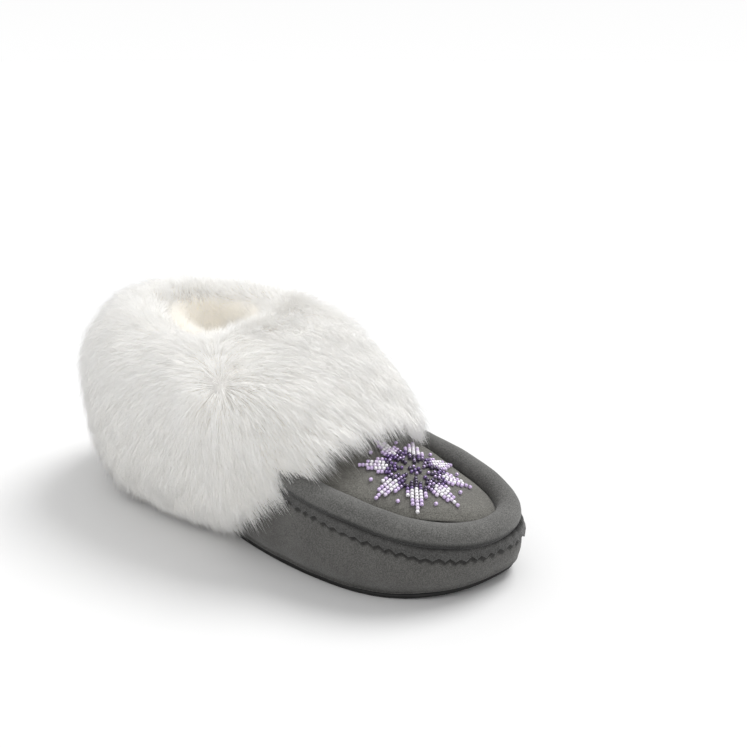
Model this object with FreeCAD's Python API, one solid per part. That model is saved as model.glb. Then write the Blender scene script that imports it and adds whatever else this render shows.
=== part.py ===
import FreeCAD, Part
import math
import os
from FreeCAD import Vector

# A right-foot house slipper: soft suede moccasin on a thin rubber sole, with a
# fur cuff folded down round the ankle.  Millimetres.  +Z is up, the toe points
# to -Y, the wearer's right is -X.  The origin is under the middle of the box.
# Places along the foot are "stations": distances back from the tip of the toe.

# ---------------------------------------------------------------- driving sizes
LENGTH = 287.6                  # front of the lip to the back of the fur
FRONT_STATION = 3.6             # station of the foremost point
TOE_Y = -FRONT_STATION - LENGTH / 2

OUTSOLE_THICK = 4.0
MIDSOLE_THICK = 5.0
INSOLE_FOAM_THICK = 4.0
FLEECE_PILE = 5.0               # combed fleece on the insole
SPRING_START = 45.0             # the sole lifts ahead of this station
SPRING_LIFT = 6.0               # lift of the sole at the toe tip
TREAD_PITCH = 6.0
TREAD_DEPTH = 1.2
TREAD_GAP = 2.2

SUEDE = 1.8
LINING = 4.0
GAP = 0.3                       # air between one layer and the next

ROLL_RADIUS = 6.2
ROLL_CORE_RADIUS = 4.4
ROLL_LIFT = 2.5                 # roll centre above the wall's edge
LIP_THICK = 1.6
LIP_HEIGHT = 7.0
LIP_TOOTH_PITCH = 4.4
LIP_TOOTH_DEPTH = 1.5

PLUG_CENTRE_X = 0.0
PLUG_HALF_WIDTH = 36.0
PLUG_CROWN = 10.0               # how far the middle of the plug stands above its edge
PLUG_THROAT = 150.0             # station where the plug ends at the opening
THREAD = 0.9
STITCH_LENGTH = 4.2
STITCH_PITCH = 6.0

TOPLINE_Z = 92.0                # height of the opening's edge under the fur
BINDING_START = 178.0           # the bound edge ends where the instep rises to it
SIDE_SEAM = 150.0               # station where front wall and quarters meet
HEEL_TAPE_WIDTH = 18.0
PELT_THICK = 1.8
CUFF_BOTTOM_Z = 42.0            # lower edge of the pelt band

BEAD_RADIUS = 0.95
BEAD_LENGTH = 1.7
BEAD_CHAMFER = 0.3
ROSETTE_RADIUS = 27.5
ROSETTE_STATION = 51.0
ROSETTE_X = 3.0
PLUG_TILT = math.radians(18)     # slope of the plug under the rosette
PETALS = 8

# Plan outlines of the foot, heel first, then down the outer side to the toe and
# back along the inner side.  Each pair is (x, station).
BULGE = [(2, 266), (-21, 260), (-35, 240), (-39, 208), (-40, 172), (-44, 138),
         (-46, 105), (-44, 74), (-37, 46), (-23, 25), (-6, 12), (15, 6), (33, 7),
         (43, 16), (48, 34), (50, 62), (49, 95), (46, 130), (41, 170), (39, 208),
         (35, 240), (24, 260)]
SEAM = [(2, 263), (-20, 257), (-33, 238), (-37, 208), (-38, 172), (-41, 138),
        (-44, 105), (-43, 74), (-36, 47), (-23, 26), (-6, 14), (15, 8), (31, 9),
        (41, 18), (45, 36), (46, 62), (45, 95), (43, 130), (39, 170), (37, 208),
        (33, 238), (23, 257)]
TOPLINE = [(2, 255), (-17, 250), (-29, 233), (-33, 206), (-34, 172), (-34, 140),
           (-35, 112), (-34, 84), (-28, 60), (-18, 42), (-4, 30), (13, 25), (27, 28),
           (34, 38), (38, 58), (39, 84), (39, 112), (38, 140), (36, 172), (35, 206),
           (31, 233), (22, 250)]

# Centreline of the padded roll, from the outer side round the toe.
ROLL_PATH = [(-39.5, 112), (-40, 90), (-37.5, 66), (-32, 48), (-26.5, 36.5),
             (-18.5, 27), (-7.5, 18.5), (4.5, 13), (18, 11.5), (30, 14.5), (37.5, 23),
             (41.5, 38), (42.5, 54), (42, 72), (40.5, 92), (38.5, 112)]

# Heights along the foot, each pair (station, z).
SEAM_HEIGHT = [(-20, 25), (7, 27), (22, 30.5), (36, 34.5), (52, 38.5), (70, 42),
               (90, 46), (106, 54), (122, 66), (138, 79), (152, 87), (172, 91),
               (205, 92), (240, 92), (290, 92)]
PLUG_RIDGE = [(-20, 17), (5, 30), (16, 36.4), (30, 43.6), (51, 50.8), (70, 56.5),
              (86, 61), (102, 69), (120, 80), (138, 90), (152, 95), (175, 97)]

# Plan rings of the fur's outer surface: height, centre station, half width,
# length ahead of the centre and length behind it.
FUR_CENTRE_X = 0.0
FUR_RINGS = [(11, 205, 61, 80, 70), (28, 208, 66, 100, 78), (46, 212, 67, 122, 79),
             (64, 213, 67, 145, 77), (84, 213, 65, 131, 72), (100, 211, 59, 106, 66),
             (111, 209, 48, 74, 57), (116, 207, 40, 52, 50)]
FUR_FRONT = [(54, 82), (80, 58), (99, 47), (116, 22), (122, 5)]    # (station, z)
FRONT_SQUARENESS = 2.8          # 2 is an ellipse, more is squarer
OPENING_CENTRE = 206.0
OPENING_HALF_WIDTH = 25.0
OPENING_HALF_LENGTH = 37.0
COLLAR_THICK = 5.0
COLLAR_TOP_Z = 104.0

WIDE = 400.0                    # longer than anything it cuts


# ---------------------------------------------------------------- plain helpers
def at(x, station, z):
    return Vector(x, TOE_Y + station, z)


def curve_through(points, closed=False):
    curve = Part.BSplineCurve()
    curve.interpolate(points, PeriodicFlag=closed)
    return curve


def height_curve(table):
    """A curve over the stations whose parameter is the station itself."""
    curve = Part.BSplineCurve()
    curve.interpolate(Points=[at(0, s, z) for s, z in table],
                      Parameters=[float(s) for s, z in table])
    return curve


SEAM_CURVE = height_curve(SEAM_HEIGHT)
RIDGE_CURVE = height_curve(PLUG_RIDGE)


def seam_z(station):
    return SEAM_CURVE.value(station).z


def plug_z(x, station):
    """Top of the crowned plug."""
    across = (x - PLUG_CENTRE_X) / PLUG_HALF_WIDTH
    return RIDGE_CURVE.value(station).z - PLUG_CROWN * across ** 2


def spring_z(station):
    """How far the curved toe of the sole lifts off the ground."""
    ahead = max(0.0, SPRING_START - station)
    return SPRING_LIFT * (ahead / SPRING_START) ** 2


def grown(outline, margin):
    """The outline moved outward by a margin, as (x, station) pairs."""
    curve = curve_through([at(x, s, 0) for x, s in outline], closed=True)
    moved = []
    for x, station in outline:
        here = at(x, station, 0)
        along = curve.tangent(curve.parameter(here))[0]
        moved.append((x + along.y * margin, station - along.x * margin))
    return moved


def blended(first, second, share):
    return [(a[0] + (b[0] - a[0]) * share, a[1] + (b[1] - a[1]) * share)
            for a, b in zip(first, second)]


def ring(outline, z):
    points = [at(x, s, z) for x, s in outline]
    return Part.Wire(curve_through(points, closed=True).toShape())


def prism(outline, z0, z1):
    return Part.Face(ring(outline, z0)).extrude(Vector(0, 0, z1 - z0))


def side_cut(lower, upper):
    """Everything between two edges drawn in the side view."""
    first, last = lower.firstVertex().Point, lower.lastVertex().Point
    start, end = upper.firstVertex().Point, upper.lastVertex().Point
    wire = Part.Wire([lower, Part.makeLine(last, end), upper, Part.makeLine(start, first)])
    return shifted(Part.Face(wire).extrude(Vector(WIDE, 0, 0)), -WIDE / 2, 0, 0)


def shifted(shape, x, y, z):
    moved = shape.copy()
    moved.translate(Vector(x, y, z))
    return moved


def below_seam(lift):
    """Everything under the edge where the wall meets the plug."""
    upper = shifted(SEAM_CURVE.toShape(), 0, 0, lift)
    lower = Part.makeLine(at(0, SEAM_HEIGHT[0][0], -10), at(0, SEAM_HEIGHT[-1][0], -10))
    return side_cut(lower, upper)


def sole_layer(z0, z1, outline):
    """A flat layer of the sole whose toe follows the spring."""
    edges = []
    for z in (z0, z1):
        steps = [k * SPRING_START / 4 for k in range(-2, 5)]
        curved = curve_through([at(0, s, z + spring_z(s)) for s in steps]).toShape()
        straight = Part.makeLine(at(0, SPRING_START, z), at(0, LENGTH + 20, z))
        edges.append((curved, straight))
    (low_curve, low_line), (top_curve, top_line) = edges
    front = side_cut(low_curve, top_curve)
    back = side_cut(low_line, top_line)
    return front.fuse(back).common(prism(outline, -10, 40)).removeSplitter()


def foot_form(margin, floor=0.0):
    """The outside of the foot's wall, moved outward by a margin, as one solid."""
    sections = [(floor, grown(BULGE, margin - 4.0)),
                (floor + 5, grown(BULGE, margin - 1.2)),
                (16, grown(BULGE, margin)),
                (28, grown(blended(BULGE, SEAM, 0.4), margin)),
                (44, grown(SEAM, margin)),
                (68, grown(blended(SEAM, TOPLINE, 0.6), margin)),
                (TOPLINE_Z + 6, grown(TOPLINE, margin))]
    return Part.makeLoft([ring(outline, z) for z, outline in sections], True)


def shell(outer, inner, floor=OUTSOLE_THICK):
    return foot_form(outer, floor).cut(foot_form(inner, floor))


def above(z):
    return shifted(Part.makeBox(WIDE, WIDE, WIDE), -WIDE / 2, -WIDE / 2, z)


def between_stations(start, end, x0=-WIDE / 2, x1=WIDE / 2):
    box = Part.makeBox(x1 - x0, end - start, WIDE)
    return shifted(box, x0, TOE_Y + start, -WIDE / 4)


def biggest(shape):
    """Drop the crumbs a cut leaves, keep the body."""
    return max(shape.Solids, key=lambda solid: solid.Volume)


def save(name, shape):
    if isinstance(shape, list):
        shape = Part.makeCompound(shape)
    shape.exportStep("parts/%s.step" % name)


# ---------------------------------------------------------------- sole
def outsole():
    body = sole_layer(0, OUTSOLE_THICK, grown(BULGE, -4.2))
    grooves = []
    station = 14.0
    while station < 258:
        if not 108 < station < 172:
            groove = Part.makeBox(2 * WIDE, TREAD_GAP, 2 * TREAD_DEPTH)
            z = spring_z(station) - TREAD_DEPTH
            grooves.append(shifted(groove, -WIDE, TOE_Y + station, z))
        station += TREAD_PITCH
    rim = prism(grown(BULGE, -8.0), -10, 20)
    return body.cut(Part.makeCompound(grooves).common(rim))


def midsole():
    low = OUTSOLE_THICK
    return sole_layer(low, low + MIDSOLE_THICK, grown(BULGE, -SUEDE - 4.5))


def insole_foam():
    low = OUTSOLE_THICK + MIDSOLE_THICK
    return sole_layer(low, low + INSOLE_FOAM_THICK, grown(BULGE, -SUEDE - LINING - 2.5))


def insole_fleece():
    low = OUTSOLE_THICK + MIDSOLE_THICK + INSOLE_FOAM_THICK
    return sole_layer(low, low + FLEECE_PILE, grown(BULGE, -SUEDE - LINING - 2.5))


# ---------------------------------------------------------------- suede upper
def closed_path(outline):
    return curve_through([at(x, s, 0) for x, s in outline], closed=True).toShape()


def walk(edge, pitch):
    """Even steps along an edge: (point, unit direction)."""
    count = int(edge.Length / pitch)
    first, last = edge.ParameterRange
    steps = []
    for point in edge.discretize(Number=count + 1)[:-1]:
        parameter = edge.Curve.parameter(point)
        steps.append((point, edge.tangentAt(min(max(parameter, first), last))))
    return steps


def stitch(centre, along):
    start = centre - along * (STITCH_LENGTH / 2)
    body = Part.makeCylinder(THREAD / 2, STITCH_LENGTH, start, along)
    return body.makeChamfer(THREAD / 4, [body.Edges[0], body.Edges[2]])


def wall_shell():
    return shell(0, -SUEDE).common(below_seam(0)).common(above(OUTSOLE_THICK))


def toe_wall(whole):
    return biggest(whole.common(between_stations(-20, SIDE_SEAM)).cut(spring_wedge()))


def spring_wedge():
    """The room under the lifted toe of the wall."""
    steps = [k * SPRING_START / 4 for k in range(-2, 5)]
    z = OUTSOLE_THICK
    upper = curve_through([at(0, s, z + spring_z(s)) for s in steps]).toShape()
    lower = Part.makeLine(at(0, steps[0], -10), at(0, SPRING_START, -10))
    return side_cut(lower, upper)


def quarter(whole, side):
    x0, x1 = (-WIDE / 2, PLUG_CENTRE_X - 2) if side < 0 else (PLUG_CENTRE_X - 2, WIDE / 2)
    start = SIDE_SEAM + GAP
    return biggest(whole.common(between_stations(start, LENGTH + 20, x0, x1)))


def heel_tape():
    """Narrow strap over the back seam."""
    strap = shell(SUEDE * 0.6 + GAP, GAP)
    half = HEEL_TAPE_WIDTH / 2
    window = between_stations(240, LENGTH, PLUG_CENTRE_X - 2 - half, PLUG_CENTRE_X - 2 + half)
    limit = above(OUTSOLE_THICK + 2).cut(above(CUFF_BOTTOM_Z - 3))
    return biggest(strap.common(window).common(limit))


def heel_counter():
    """Stiff cup hidden between the quarters and their lining."""
    cup = shell(-SUEDE - 0.1, -SUEDE - 1.3)
    limit = above(OUTSOLE_THICK + MIDSOLE_THICK + 1).cut(above(56))
    return biggest(cup.common(between_stations(205, LENGTH)).common(limit))


def lining(start, end):
    inner = shell(-SUEDE - 1.5, -SUEDE - LINING)
    low = OUTSOLE_THICK + MIDSOLE_THICK + SPRING_LIFT + 0.5
    limit = below_seam(-1.5).common(above(low))
    return biggest(inner.common(limit).common(between_stations(start, end)))


def roll_spine():
    points = [at(x, s, seam_z(s) + ROLL_LIFT) for x, s in ROLL_PATH]
    return curve_through(points).toShape()


def tube(spine, radius):
    start = spine.valueAt(spine.FirstParameter)
    along = spine.tangentAt(spine.FirstParameter)
    profile = Part.Wire(Part.makeCircle(radius, start, along))
    return Part.Wire(spine).makePipeShell([profile], True, False)


def roll_cover(spine):
    return tube(spine, ROLL_RADIUS).cut(tube(spine, ROLL_CORE_RADIUS + 0.1))


def roll_outline(margin):
    """The U of the roll closed at the throat, moved outward by a margin."""
    throat = [(33, PLUG_THROAT), (-33, PLUG_THROAT)]
    return grown(ROLL_PATH + throat, margin)


def plug_slab(top, bottom):
    """A crowned sheet that follows the plug, between two offsets of its top."""
    sections = []
    for station in (-10, 5, 18, 34, 51, 68, 84, 100, 118, 136, 152, 170):
        arcs = []
        for offset in (top, bottom):
            points = [at(x, station, plug_z(x, station) + offset) for x in (-60, -28, 4, 36, 68)]
            arcs.append(curve_through(points).toShape())
        upper, lower = arcs
        left = Part.makeLine(upper.firstVertex().Point, lower.firstVertex().Point)
        right = Part.makeLine(lower.lastVertex().Point, upper.lastVertex().Point)
        sections.append(Part.Wire([upper, right, lower, left]))
    return Part.makeLoft(sections, True)


def plug(spine):
    sheet = plug_slab(0, -SUEDE).common(prism(roll_outline(-3.0), 0, 140))
    sheet = sheet.common(between_stations(-20, PLUG_THROAT))
    return biggest(sheet.cut(tube(spine, ROLL_RADIUS + 0.05)))


def plug_lining(spine):
    sheet = plug_slab(-SUEDE - 0.2, -SUEDE - LINING).common(prism(roll_outline(-9.0), 0, 140))
    sheet = sheet.common(between_stations(-20, PLUG_THROAT - 2))
    sheet = sheet.cut(tube(spine, ROLL_RADIUS + 0.1)).cut(shell(0.5, -SUEDE - LINING - 0.2))
    return biggest(sheet)


def lip(spine):
    """Flat band under the roll with its lower edge cut in teeth."""
    band = shell(LIP_THICK + 0.1, 0.1).common(between_stations(-20, 112))
    band = band.common(below_seam(1.0)).cut(below_seam(-LIP_HEIGHT))
    band = biggest(band.cut(tube(spine, ROLL_RADIUS + 0.05)))
    notches = []
    for here, along in walk(closed_path(grown(BULGE, 0.8)), LIP_TOOTH_PITCH):
        station = here.y - TOE_Y
        if station < 110:
            notches.append(notch(here, along, seam_z(station) - LIP_HEIGHT))
    return biggest(band.cut(Part.makeCompound(notches)))


def notch(here, along, z):
    """A small wedge, point up, that cuts one gap between two teeth."""
    outward = Vector(along.y, -along.x, 0)
    base = Vector(here.x, here.y, z - 0.6) - outward * 9
    half = along * (LIP_TOOTH_PITCH * 0.42)
    tip = base + Vector(0, 0, LIP_TOOTH_DEPTH + 0.6)
    face = Part.Face(Part.makePolygon([base - half, base + half, tip, base - half]))
    return face.extrude(outward * 15)


def plug_thread(spine):
    """Stitches along the inner foot of the roll, where it is sewn to the plug."""
    stitches = []
    path = curve_through([at(x, s, 0) for x, s in grown(ROLL_PATH, -ROLL_RADIUS - 1.2)[1:-1]]).toShape()
    for here, along in walk(path, STITCH_PITCH):
        station = here.y - TOE_Y
        if station < 98:
            z = plug_z(here.x, station) + THREAD / 2
            stitches.append(stitch(Vector(here.x, here.y, z), along))
    return stitches


# ---------------------------------------------------------------- cuff and fur
def pelt(spine):
    """Leather back of the fur, wrapped round the ankle."""
    band = shell(PELT_THICK + 2.4, 2.4).common(below_seam(3.0)).common(above(CUFF_BOTTOM_Z))
    band = band.common(between_stations(118, LENGTH)).cut(above(TOPLINE_Z + 3))
    return biggest(band.cut(tube(spine, ROLL_RADIUS + 0.3)))


def tongue_pelt():
    """Front of the pelt, lying over the instep."""
    sheet = plug_slab(PELT_THICK + 1.0, 1.0).common(between_stations(92, PLUG_THROAT))
    return biggest(sheet.common(prism(roll_outline(-10.0), 0, 140)))


def fur_ring(z, centre, half_width, ahead, behind):
    """An egg-shaped ring: an ellipse behind the centre, squarer ahead of it."""
    outline = []
    for step in range(20):
        angle = 2 * math.pi * step / 20
        forward, sideways = math.cos(angle), math.sin(angle)
        reach = ahead if forward > 0 else behind
        power = 2 / FRONT_SQUARENESS if forward > 0 else 1
        x = FUR_CENTRE_X + half_width * math.copysign(abs(sideways) ** power, sideways)
        outline.append((x, centre - reach * math.copysign(abs(forward) ** power, forward)))
    return ring(outline, z)


def opening(margin, z0, z1):
    outline = []
    for step in range(12):
        angle = 2 * math.pi * step / 12
        x = FUR_CENTRE_X + (OPENING_HALF_WIDTH + margin) * math.cos(angle)
        s = OPENING_CENTRE + (OPENING_HALF_LENGTH + margin) * math.sin(angle)
        outline.append((x, s))
    return prism(outline, z0, z1)


def fur_front_limit():
    """Everything behind and above the front edge of the fur."""
    front = [at(0, s, z) for s, z in FUR_FRONT]
    corners = front + [at(0, LENGTH + 40, 5), at(0, LENGTH + 40, 140), at(0, 40, 140)]
    face = Part.Face(Part.makePolygon(corners + corners[:1]))
    return shifted(face.extrude(Vector(WIDE, 0, 0)), -WIDE / 2, 0, 0)


def fur_cuff(spine):
    """The body of long hair outside the pelt."""
    body = Part.makeLoft([fur_ring(*row) for row in FUR_RINGS], True)
    body = body.common(fur_front_limit())
    body = body.cut(foot_form(PELT_THICK + 2.7, OUTSOLE_THICK).common(below_seam(3.6)))
    under_plug = plug_slab(PELT_THICK + 1.4, -60).common(prism(roll_outline(-2.0), 0, 140))
    body = body.cut(under_plug).cut(tube(spine, ROLL_RADIUS + 0.4))
    return biggest(body.cut(opening(COLLAR_THICK + 0.3, 50, 140)))


def collar_fleece():
    """Short fur that lines the mouth of the slipper."""
    return opening(COLLAR_THICK, TOPLINE_Z + 1.2, COLLAR_TOP_Z).cut(opening(0, 50, 140))


def topline_binding():
    band = shell(-0.4, -SUEDE - 1.2).common(above(TOPLINE_Z + 0.1)).cut(above(TOPLINE_Z + 1.0))
    return biggest(band.common(between_stations(BINDING_START, LENGTH)))


def cuff_thread():
    """Stitches through the lower edge of the pelt."""
    stitches = []
    outline = grown(SEAM, 1.3)
    for here, along in walk(closed_path(outline), STITCH_PITCH):
        if here.y - TOE_Y > 122:
            stitches.append(stitch(Vector(here.x, here.y, CUFF_BOTTOM_Z - 1.5), along))
    return stitches


# ---------------------------------------------------------------- beadwork
def bead(across, along_foot, direction):
    """One barrel-shaped glass bead on the plug, placed from the rosette's centre."""
    x = ROSETTE_X + across
    station = ROSETTE_STATION + along_foot * math.cos(PLUG_TILT)
    slope = RIDGE_CURVE.value(station + 1).z - RIDGE_CURVE.value(station).z
    lean = -2 * PLUG_CROWN * (x - PLUG_CENTRE_X) / PLUG_HALF_WIDTH ** 2
    along = Vector(direction[0], direction[1], direction[0] * lean + direction[1] * slope)
    along.normalize()
    centre = at(x, station, plug_z(x, station) + BEAD_RADIUS + 0.1)
    start = centre - along * (BEAD_LENGTH / 2)
    body = Part.makeCylinder(BEAD_RADIUS, BEAD_LENGTH, start, along)
    return body.makeChamfer(BEAD_CHAMFER, [body.Edges[0], body.Edges[2]])


# Rows of one petal: sideways place, where the dark beads start, where the light
# beads start and where the row ends, as shares of the rosette's radius.
PETAL_ROWS = [(0.0, 0.24, 0.50, 1.0), (1.0, 0.36, 0.56, 0.86), (-1.0, 0.36, 0.56, 0.86),
              (2.0, 0.46, 0.58, 0.72), (-2.0, 0.46, 0.58, 0.72)]
ROW_PITCH = 2.15
BEAD_PITCH = 1.9
CENTRE_RING = 2.6               # ring of beads round the middle one
DOT_REACH = 0.86                # single beads between the petals


def petal_beads(index):
    """Light and dark beads of one petal, in straight rows along its axis."""
    angle = 2 * math.pi * index / PETALS
    axis = (math.sin(angle), -math.cos(angle))
    side = (math.cos(angle), math.sin(angle))
    light, dark = [], []
    for row, dark_start, light_start, end in PETAL_ROWS:
        reach = dark_start * ROSETTE_RADIUS
        while reach <= end * ROSETTE_RADIUS:
            across = axis[0] * reach + side[0] * row * ROW_PITCH
            along_foot = axis[1] * reach + side[1] * row * ROW_PITCH
            group = light if reach >= light_start * ROSETTE_RADIUS else dark
            group.append(bead(across, along_foot, axis))
            reach += BEAD_PITCH
    return light, dark


def centre_beads():
    beads = [bead(0, 0, (1, 0))]
    for step in range(6):
        angle = 2 * math.pi * step / 6
        across, along_foot = math.cos(angle), math.sin(angle)
        beads.append(bead(CENTRE_RING * across, CENTRE_RING * along_foot, (-along_foot, across)))
    return beads


def dot_beads():
    beads = []
    for index in range(PETALS):
        angle = 2 * math.pi * (index + 0.5) / PETALS
        reach = DOT_REACH * ROSETTE_RADIUS
        beads.append(bead(reach * math.sin(angle), -reach * math.cos(angle), (1, 0)))
    return beads


# ---------------------------------------------------------------- assembly
def main():
    os.makedirs("parts", exist_ok=True)
    spine = roll_spine()
    save("outsole", outsole())
    save("midsole_foam", midsole())
    save("insole_foam", insole_foam())
    save("insole_fleece", insole_fleece())
    whole = wall_shell()
    save("toe_wall", toe_wall(whole))
    save("quarter_outer", quarter(whole, -1))
    save("quarter_inner", quarter(whole, 1))
    save("heel_tape", heel_tape())
    save("heel_counter", heel_counter())
    save("vamp_lining", lining(-20, SIDE_SEAM))
    save("heel_lining", lining(SIDE_SEAM + GAP, LENGTH))
    save("roll_cover", roll_cover(spine))
    save("roll_core", tube(spine, ROLL_CORE_RADIUS))
    save("plug", plug(spine))
    save("plug_lining", plug_lining(spine))
    save("pinked_lip", lip(spine))
    save("plug_thread", plug_thread(spine))
    save("cuff_pelt", pelt(spine))
    save("tongue_pelt", tongue_pelt())
    save("fur_cuff", fur_cuff(spine))
    save("collar_fleece", collar_fleece())
    save("topline_binding", topline_binding())
    save("cuff_thread", cuff_thread())
    for index in range(PETALS):
        light, dark = petal_beads(index)
        save("petal_%d_light_beads" % (index + 1), light)
        save("petal_%d_dark_beads" % (index + 1), dark)
    save("centre_beads", centre_beads())
    save("dot_beads", dot_beads())


main()
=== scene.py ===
import math

import bpy
import numpy as np
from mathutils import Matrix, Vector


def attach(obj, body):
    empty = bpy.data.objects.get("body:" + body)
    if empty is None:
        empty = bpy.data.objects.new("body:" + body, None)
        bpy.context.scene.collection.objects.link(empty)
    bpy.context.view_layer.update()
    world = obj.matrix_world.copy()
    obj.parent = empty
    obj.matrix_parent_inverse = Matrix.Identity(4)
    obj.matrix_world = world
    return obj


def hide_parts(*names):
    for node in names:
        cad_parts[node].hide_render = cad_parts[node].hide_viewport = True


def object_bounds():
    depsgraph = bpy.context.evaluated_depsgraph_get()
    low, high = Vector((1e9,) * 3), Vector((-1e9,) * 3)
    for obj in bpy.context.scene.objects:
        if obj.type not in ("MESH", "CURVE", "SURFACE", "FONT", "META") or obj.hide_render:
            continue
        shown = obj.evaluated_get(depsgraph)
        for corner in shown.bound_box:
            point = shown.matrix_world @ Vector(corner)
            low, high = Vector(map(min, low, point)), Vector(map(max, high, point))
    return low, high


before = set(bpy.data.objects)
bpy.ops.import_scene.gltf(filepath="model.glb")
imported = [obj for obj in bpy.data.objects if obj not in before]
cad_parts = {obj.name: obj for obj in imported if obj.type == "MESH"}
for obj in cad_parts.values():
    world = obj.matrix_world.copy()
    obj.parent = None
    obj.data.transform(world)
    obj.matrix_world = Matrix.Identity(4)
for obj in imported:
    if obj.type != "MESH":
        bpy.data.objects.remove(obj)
CAD_LOW, CAD_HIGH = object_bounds()

# The looks of a right-foot moccasin slipper.  Shapes are worked out in millimetres
# and handed to Blender in metres.  The toe points to -Y; "stations" are distances
# back from the tip of the toe, as in the design.
MM = 0.001
FRONT_STATION = 3.6
TOE_Y = CAD_LOW[1] / MM - FRONT_STATION

# -------- design sizes
OUTSOLE_THICK = 4.0
SPRING_START = 45.0
SPRING_LIFT = 6.0
SUEDE = 1.8
ROLL_RADIUS = 6.2
ROLL_LIFT = 2.5
THREAD = 0.9
STITCH_LENGTH = 4.2
STITCH_PITCH = 6.0
LIP_THICK = 1.6
LIP_HEIGHT = 6.6
TOOTH_PITCH = 5.4
TOOTH_DEPTH = 1.9
LIP_END = 112.0
LIP_COLUMNS = 1100
LIP_WALL_HEIGHT = 30.0          # height on the wall at which places round the toe are measured
WALL_SHEET = 1.4                # the suede as it is drawn, a little under its real thickness
HEM_OVERLAP = 1.3               # the hem hangs over the edge of the sole
HEM_SWELL = 0.8
WALL_ROWS = 62
TUCK_ROWS = 4                   # rows turned under at the sole, each by TUCK_STEP
TUCK_STEP = 1.6
TOE_WALL_COLUMNS = 790          # more would pass the export's limit of triangles
QUARTER_COLUMNS = 160
SOLE_WALL_HEIGHT = 16.0
RIB_COLUMNS = 1400
RIB_DEPTH = 0.28
ROLL_RINGS = 420
ROLL_AROUND = 40
PLUG_ACROSS = 360
PLUG_DEEP = 60
PLUG_SPINE_X = 4.0
PLUG_EDGE_REACH = 0.62          # where the plug meets the roll, as a share of its radius
STITCH_REACH = 0.80
STITCH_SINK = 2.3
LINING_SINK = 2.2
COLLAR_PRESSED = 0.35           # share of the collar's height that is left
FLEECE_VOXEL = 1.3
SHOE_MIDDLE = (0, 140, 30)
PLUG_HALF_WIDTH = 36.0
PLUG_CROWN = 10.0
PLUG_THROAT = 150.0
SIDE_SEAM = 150.0
ROSETTE_RADIUS = 27.5
ROSETTE_STATION = 51.0
ROSETTE_X = 3.0
PLUG_TILT = math.radians(18)
BEAD_RADIUS = 0.95
BEAD_LENGTH = 1.7
ROW_PITCH = 2.15
BEAD_PITCH = 1.9
CENTRE_RING = 2.6
DOT_REACH = 0.86
PETALS = 8
BEAD_SIDES = 14
BEAD_WOBBLE = 0.07              # unevenness of the sewn beads

BULGE = [(2, 266), (-21, 260), (-35, 240), (-39, 208), (-40, 172), (-44, 138),
         (-46, 105), (-44, 74), (-37, 46), (-23, 25), (-6, 12), (15, 6), (33, 7),
         (43, 16), (48, 34), (50, 62), (49, 95), (46, 130), (41, 170), (39, 208),
         (35, 240), (24, 260)]
SEAM = [(2, 263), (-20, 257), (-33, 238), (-37, 208), (-38, 172), (-41, 138),
        (-44, 105), (-43, 74), (-36, 47), (-23, 26), (-6, 14), (15, 8), (31, 9),
        (41, 18), (45, 36), (46, 62), (45, 95), (43, 130), (39, 170), (37, 208),
        (33, 238), (23, 257)]
TOPLINE = [(2, 255), (-17, 250), (-29, 233), (-33, 206), (-34, 172), (-34, 140),
           (-35, 112), (-34, 84), (-28, 60), (-18, 42), (-4, 30), (13, 25), (27, 28),
           (34, 38), (38, 58), (39, 84), (39, 112), (38, 140), (36, 172), (35, 206),
           (31, 233), (22, 250)]
ROLL_PATH = [(-39.5, 112), (-40, 90), (-37.5, 66), (-32, 48), (-26.5, 36.5),
             (-18.5, 27), (-7.5, 18.5), (4.5, 13), (18, 11.2), (30.4, 14), (38.2, 22.6),
             (42.2, 37.4), (43, 54), (42.2, 72), (40.5, 92), (38.5, 112)]
SEAM_HEIGHT = [(-20, 25), (7, 27), (22, 30.5), (36, 34.5), (52, 38.5), (70, 42),
               (90, 46), (106, 54), (122, 66), (138, 79), (152, 87), (172, 91),
               (205, 92), (240, 92), (290, 92)]
PLUG_RIDGE = [(-20, 17), (5, 30), (16, 36.4), (30, 43.6), (51, 50.8), (70, 56.5),
              (86, 61), (102, 69), (120, 80), (138, 90), (152, 95), (175, 97)]
# Wall profile: height, how far the wall pulls in, share of SEAM, share of TOPLINE.
WALL_PROFILE = [(4, 4.0, 0, 0), (9, 1.2, 0, 0), (16, 0, 0, 0), (28, 0, 0.4, 0),
                (44, 0, 1, 0), (68, 0, 1, 0.6), (98, 0, 1, 1)]

# -------- the view
CAMERA_PLACE = (-300.3, -204.6, 241.5)      # x, distance from the toe tip along Y, z
CAMERA_AZIMUTH = -47.0
CAMERA_ELEVATION = 19.5
CAMERA_LENS = 43.4


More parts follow.
